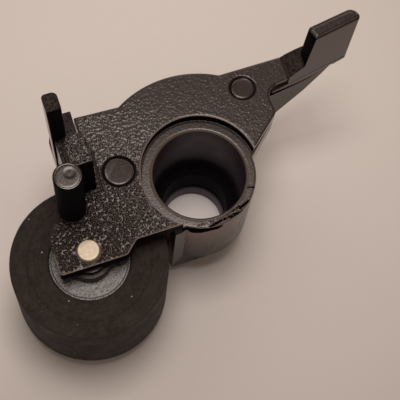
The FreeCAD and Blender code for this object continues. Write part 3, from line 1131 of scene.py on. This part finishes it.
def rubber_material(centre, top):
    """Matt rubber: fine lines round the axis, a redder side rubbed by wear, a few dust specks, and
    a band of painted light on the rounded top edge.
    """
    shader = Shader("tyre_rubber", IOR=1.5, Specular_IOR_Level=0.30)
    offset = shader.add("ShaderNodeVectorMath", operation="SUBTRACT")
    offset.inputs[1].default_value = (centre[0], centre[1], 0)
    shader.join(shader.place, "Object", offset, 0)
    level = shader.add("ShaderNodeVectorMath", operation="MULTIPLY")
    level.inputs[1].default_value = (1, 1, 0)
    shader.join(offset, "Vector", level, 0)
    reach = shader.add("ShaderNodeVectorMath", operation="LENGTH")
    shader.join(level, "Vector", reach, 0)
    radius = (reach, "Value")
    lines = shader.add("ShaderNodeTexNoise", {"Scale": 1.0, "Detail": 2.0}, noise_dimensions="1D")
    scaled = shader.math("MULTIPLY", radius, 1 / (0.20 * MM))
    shader.join(scaled[0], scaled[1], lines, "W")
    rings = (lines, "Fac")
    crumbs = shader.noise(0.42 * MM, 4.0, 0.7)
    patches = shader.noise(2.4 * MM, 3.0)
    face = shader.blend(patches, (0.0150, 0.0112, 0.0092), (0.0250, 0.0190, 0.0160))
    pale_rings = shader.ramp(rings, 0.42, 0.62, (0.0, 0.7))
    face = shader.blend(pale_rings, face, (0.0345, 0.0275, 0.0225))
    dark_crumbs = shader.ramp(crumbs, 0.56, 0.44, (0.0, 0.55))
    face = shader.blend(dark_crumbs, face, (0.0075, 0.0058, 0.0055))
    blotches = shader.ramp(shader.noise(0.7 * MM, 2.0), 0.45, 0.65, (0.0, 0.5))
    face = shader.blend(blotches, face, (0.034, 0.0275, 0.0210))
    crumbled = shader.ramp(crumbs, 0.42, 0.62, (0, 1))
    side = shader.blend(crumbled, (0.0040, 0.0022, 0.0021), (0.0340, 0.0180, 0.0155))
    on_face = shader.ramp(shader.height(), top - 0.5 * MM, top - 0.2 * MM, (0, 1))
    body = shader.blend(on_face, side, face)
    body = shader.blend(shader.ramp(crumbs, 0.62, 0.76, (0.0, 0.7)), body, (0.066, 0.056, 0.050))
    for spot_radius, angle, size in DUST_SPECKS:
        away = shader.distance((*(centre + turned(angle) * spot_radius * MM), top))
        speck = shader.ramp(away, 0.6 * size * MM, size * MM, (1.0, 0.0))
        body = shader.blend(speck, body, (0.40, 0.37, 0.34))
    # Painted light: a paler band on the rounded top edge, lifting the shade the edge would show.
    rounded = shader.math(
        "MULTIPLY",
        shader.ramp(shader.height(), top - 0.42 * MM, top - 0.25 * MM, (0, 1)),
        shader.ramp(shader.height(), top - 0.10 * MM, top - 0.05 * MM, (1, 0)),
    )
    rounded = shader.math("MULTIPLY", rounded, 0.8)
    shader.colour(shader.blend(rounded, body, (0.040, 0.0300, 0.0255)))
    shader.drive("Roughness", shader.ramp(patches, 0.3, 0.7, (0.62, 0.82)))
    shader.bump([(rings, 0.06 * MM), (crumbs, 0.08 * MM)])
    return shader.material


def metal_material(name, low, high, size, roughness, bump):
    """Metal mottled between two colours, in spots of a size."""
    shader = Shader(name, Metallic=1.0)
    spots = shader.noise(size, 3.0)
    shader.colour(shader.blend(shader.ramp(spots, 0.35, 0.65, (0, 1)), low, high))
    shader.drive("Roughness", shader.ramp(spots, 0.3, 0.7, roughness))
    shader.bump([(spots, bump)])
    return shader.material


def dull_plastic_material():
    """Dark plastic of the bushes."""
    shader = Shader("bush_plastic", IOR=1.5)
    spots = shader.noise(0.3 * MM, 3.0)
    shader.colour(shader.blend(spots, (0.006, 0.0048, 0.0046), (0.014, 0.0110, 0.0100)))
    shader.drive("Roughness", shader.ramp(spots, 0.3, 0.7, (0.38, 0.55)))
    shader.bump([(spots, 0.01 * MM)])
    return shader.material


# ---------------------------------------------------------------- floor, light, camera


def make_floor():
    """Pale paper with painted light: painted shade darkens it away from a bright spot near the arm,
    and a painted pool of light brightens it under the bore.
    """
    bpy.ops.mesh.primitive_plane_add(size=FLOOR_SIZE)
    floor = bpy.context.object
    floor.name = "floor"
    shader = Shader("pale_paper", Roughness=0.8, IOR=1.35)
    fibres = shader.noise(1.2 * MM, 4.0)
    # Painted shade: the paper darkens with the square of its distance from the bright spot.
    away = shader.distance((*FLOOR_PAINTED_LIGHT_SPOT, 0))
    far = shader.math("POWER", shader.ramp(away, 0, FLOOR_PAINTED_FALLOFF, (0.0, 1.0)), 2.0)
    paper = shader.blend(fibres, (0.770, 0.765, 0.760), (0.800, 0.795, 0.790))
    paper = shader.blend(far, paper, (0.610, 0.602, 0.595))
    # Painted light: a paler disc on the floor under the bore.
    painted_bore_pool = shader.ramp(shader.distance((0, 0, 0)), *FLOOR_PAINTED_BORE_POOL, (1.0, 0.0))
    shader.colour(shader.blend(painted_bore_pool, paper, (0.930, 0.930, 0.940)))
    shader.bump([(fibres, 0.02 * MM)])
    use_material(floor, shader.material)


def soft_light(name, spot, size, power, colour):
    """Square area light at a point, aimed at the middle of the arm."""
    lamp = bpy.data.lights.new(name, "AREA")
    lamp.shape = "SQUARE"
    lamp.size = size
    lamp.energy = power
    lamp.color = colour
    light = bpy.data.objects.new(name, lamp)
    light.location = spot
    aim = Vector(LIGHT_AIM) - Vector(spot)
    light.rotation_euler = aim.to_track_quat("-Z", "Y").to_euler()
    bpy.context.scene.collection.objects.link(light)


def make_room():
    """The weak even light that comes from all round."""
    world = bpy.data.worlds.new("room")
    world.use_nodes = True
    background = world.node_tree.nodes["Background"]
    background.inputs["Color"].default_value = ROOM_COLOUR
    background.inputs["Strength"].default_value = ROOM_STRENGTH
    bpy.context.scene.world = world


def make_camera():
    """Long lens, above and in front of the roller, tilted like a hand-held view."""
    camera = bpy.data.cameras.new("camera")
    camera.lens = CAMERA_LENS
    camera.sensor_width = 36.0
    camera.clip_start = 0.01
    obj = bpy.data.objects.new("camera", camera)
    obj.location = CAMERA_AT
    obj.rotation_euler = Euler([math.radians(turn) for turn in CAMERA_TURN])
    bpy.context.scene.collection.objects.link(obj)
    bpy.context.scene.camera = obj


# ---------------------------------------------------------------- assembly

bpy.context.scene.view_settings.view_transform = "Standard"

make_arm_skin()
make_tyre()

# Metals: two colours, size of the mottling, range of roughness and depth of the bump
core_metal = metal_material(
    "core_metal", (0.060, 0.065, 0.070), (0.27, 0.275, 0.275), 0.20 * MM, (0.42, 0.60), 0.06 * MM
)
pin_steel = metal_material(
    "pin_steel", (0.44, 0.395, 0.318), (0.53, 0.485, 0.395), 0.35 * MM, (0.50, 0.62), 0.01 * MM
)
washer_steel = metal_material(
    "washer_steel", (0.42, 0.41, 0.40), (0.52, 0.51, 0.50), 0.3 * MM, (0.3, 0.42), 0.004 * MM
)
clip_steel = metal_material(
    "clip_steel", (0.28, 0.27, 0.26), (0.38, 0.37, 0.36), 0.3 * MM, (0.34, 0.46), 0.004 * MM
)
dull_plastic = dull_plastic_material()
softened("roller_core", "core_ring", "roller", core_metal, 0.06 * MM)
softened("roller_pin", "pin", "arm", pin_steel, 0.06 * MM)
softened("upper_bush", "bush_upper", "roller", dull_plastic, 0.12 * MM)
softened("lower_bush", "bush_lower", "roller", dull_plastic, 0.12 * MM)
softened("thrust_washer", "washer", "arm", washer_steel, 0.05 * MM)
softened("retaining_clip", "clip", "arm", clip_steel, 0.05 * MM)

make_floor()
for light in LIGHTS:
    soft_light(*light)
make_room()
make_camera()
